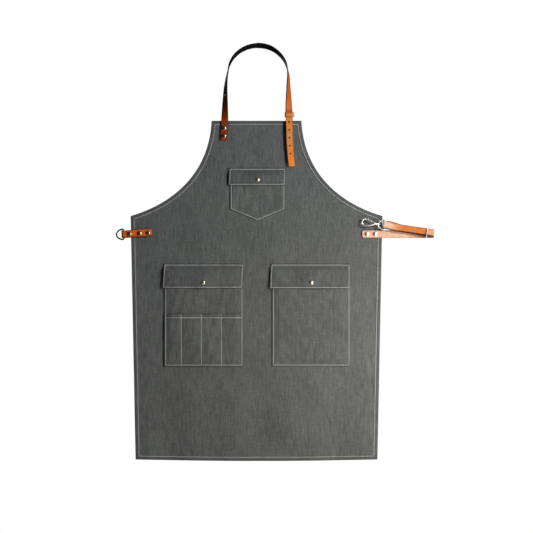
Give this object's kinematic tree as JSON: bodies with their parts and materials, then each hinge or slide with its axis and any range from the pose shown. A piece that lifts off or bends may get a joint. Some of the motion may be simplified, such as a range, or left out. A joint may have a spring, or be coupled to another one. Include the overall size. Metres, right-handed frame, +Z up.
{
  "type": "bib apron",
  "caption": "Canvas bib apron hanging by its leather neck strap, with flapped snap pockets, a slotted tool panel, a riveted D-ring tab and a waist strap with a swivel snap hook.",
  "frame": {"origin": "the point that hangs on a peg: the underside of the neck strap at the top of its loop", "axes": "+Z up as it hangs, the front faces -Y, +X to the right seen from the front"},
  "size_m": [0.705, 0.081, 0.9266],
  "materials": {
    "canvas": "grey cotton canvas twill with slubs and pale top stitching",
    "leather": "orange-tan vegetable tanned leather, waxed, with dark dyed edges and flesh side",
    "rivet_brass": "polished, slightly darkened",
    "snap_brass": "polished",
    "nickel": "polished warm nickel plate",
    "dark_steel": "dark nickel plate, polished"
  },
  "bodies": {
    "root": {"apron_body": "canvas", "chest_pocket": "canvas", "chest_snap_post": "snap_brass", "chest_snap_stud": "snap_brass", "left_pocket": "canvas", "left_snap_post": "snap_brass", "left_snap_stud": "snap_brass", "left_tool_panel": "canvas", "neck_strap": "leather", "neck_strap_rivet_1_cap": "rivet_brass", "neck_strap_rivet_1_post": "rivet_brass", "neck_strap_rivet_2_cap": "rivet_brass", "neck_strap_rivet_2_post": "rivet_brass", "neck_stud": "snap_brass", "neck_stud_screw": "snap_brass", "neck_tab": "leather", "neck_tab_rivet_1_cap": "rivet_brass", "neck_tab_rivet_1_post": "rivet_brass", "neck_tab_rivet_2_cap": "rivet_brass", "neck_tab_rivet_2_post": "rivet_brass", "right_pocket": "canvas", "right_snap_post": "snap_brass", "right_snap_stud": "snap_brass", "ring_tab": "leather", "ring_tab_rivet_1_cap": "rivet_brass", "ring_tab_rivet_1_post": "rivet_brass", "ring_tab_rivet_2_cap": "rivet_brass", "ring_tab_rivet_2_post": "rivet_brass", "ring_tab_rivet_3_cap": "rivet_brass", "ring_tab_rivet_3_post": "rivet_brass", "waist_strap": "leather", "waist_strap_rivet_1_cap": "rivet_brass", "waist_strap_rivet_1_post": "rivet_brass", "waist_strap_rivet_2_cap": "rivet_brass", "waist_strap_rivet_2_post": "rivet_brass"},
    "chest_flap": {"chest_pocket_flap": "canvas", "chest_snap_cap": "snap_brass", "chest_snap_socket": "snap_brass"},
    "left_flap": {"left_pocket_flap": "canvas", "left_snap_cap": "snap_brass", "left_snap_socket": "snap_brass"},
    "right_flap": {"right_pocket_flap": "canvas", "right_snap_cap": "snap_brass", "right_snap_socket": "snap_brass"},
    "ring": {"d_ring": "dark_steel"},
    "eye": {"hook_eye": "nickel"},
    "hook": {"hook_body": "nickel", "hook_swivel_stem": "nickel", "hook_gate_pin": "nickel", "hook_gate_spring": "nickel"},
    "gate": {"hook_gate": "nickel"},
    "keeper": {"neck_keeper": "leather"},
    "slider": {"strap_slider": "nickel"}
  },
  "joints": [
    {"name": "chest_flap_hinge", "type": "hinge", "parent": "root", "child": "chest_flap", "pos_m": [0.0022, -0.05865, -0.27464], "axis": [-1, 0, 0], "range_deg": [0, 155]},
    {"name": "left_flap_hinge", "type": "hinge", "parent": "root", "child": "left_flap", "pos_m": [-0.1164, -0.05865, -0.48644], "axis": [-1, 0, 0], "range_deg": [0, 155]},
    {"name": "right_flap_hinge", "type": "hinge", "parent": "root", "child": "right_flap", "pos_m": [0.1195, -0.05865, -0.48644], "axis": [-1, 0, 0], "range_deg": [0, 155]},
    {"name": "ring_swing", "type": "hinge", "parent": "root", "child": "ring", "pos_m": [-0.2942, -0.05724, -0.42014], "axis": [-0.0558, 0, 0.9984], "range_deg": [-100, 100]},
    {"name": "keeper_slide", "type": "slide", "parent": "root", "child": "keeper", "axis": [0, 0, 1], "range_m": [-0.007, 0.0105]},
    {"name": "slider_slide", "type": "slide", "parent": "root", "child": "slider", "axis": [0.9893, 0, -0.1461], "range_m": [-0.066, 0.006]},
    {"name": "eye_swing", "type": "hinge", "parent": "root", "child": "eye", "pos_m": [0.28238, -0.06895, -0.39986], "axis": [0.1461, 0, 0.9893], "range_deg": [0, 120]},
    {"name": "hook_swivel", "type": "hinge", "parent": "eye", "child": "hook", "pos_m": [0.26853, -0.06858, -0.39782], "axis": [-0.9889, 0.0262, 0.146], "continuous": true},
    {"name": "gate_hinge", "type": "hinge", "parent": "hook", "child": "gate", "pos_m": [0.2606, -0.06836, -0.39543], "axis": [-0.0259, -0.9997, 0.0038], "range_deg": [0, 18], "stiffness_Nm_per_rad": 0.02, "springref_deg": -20.05}
  ]
}
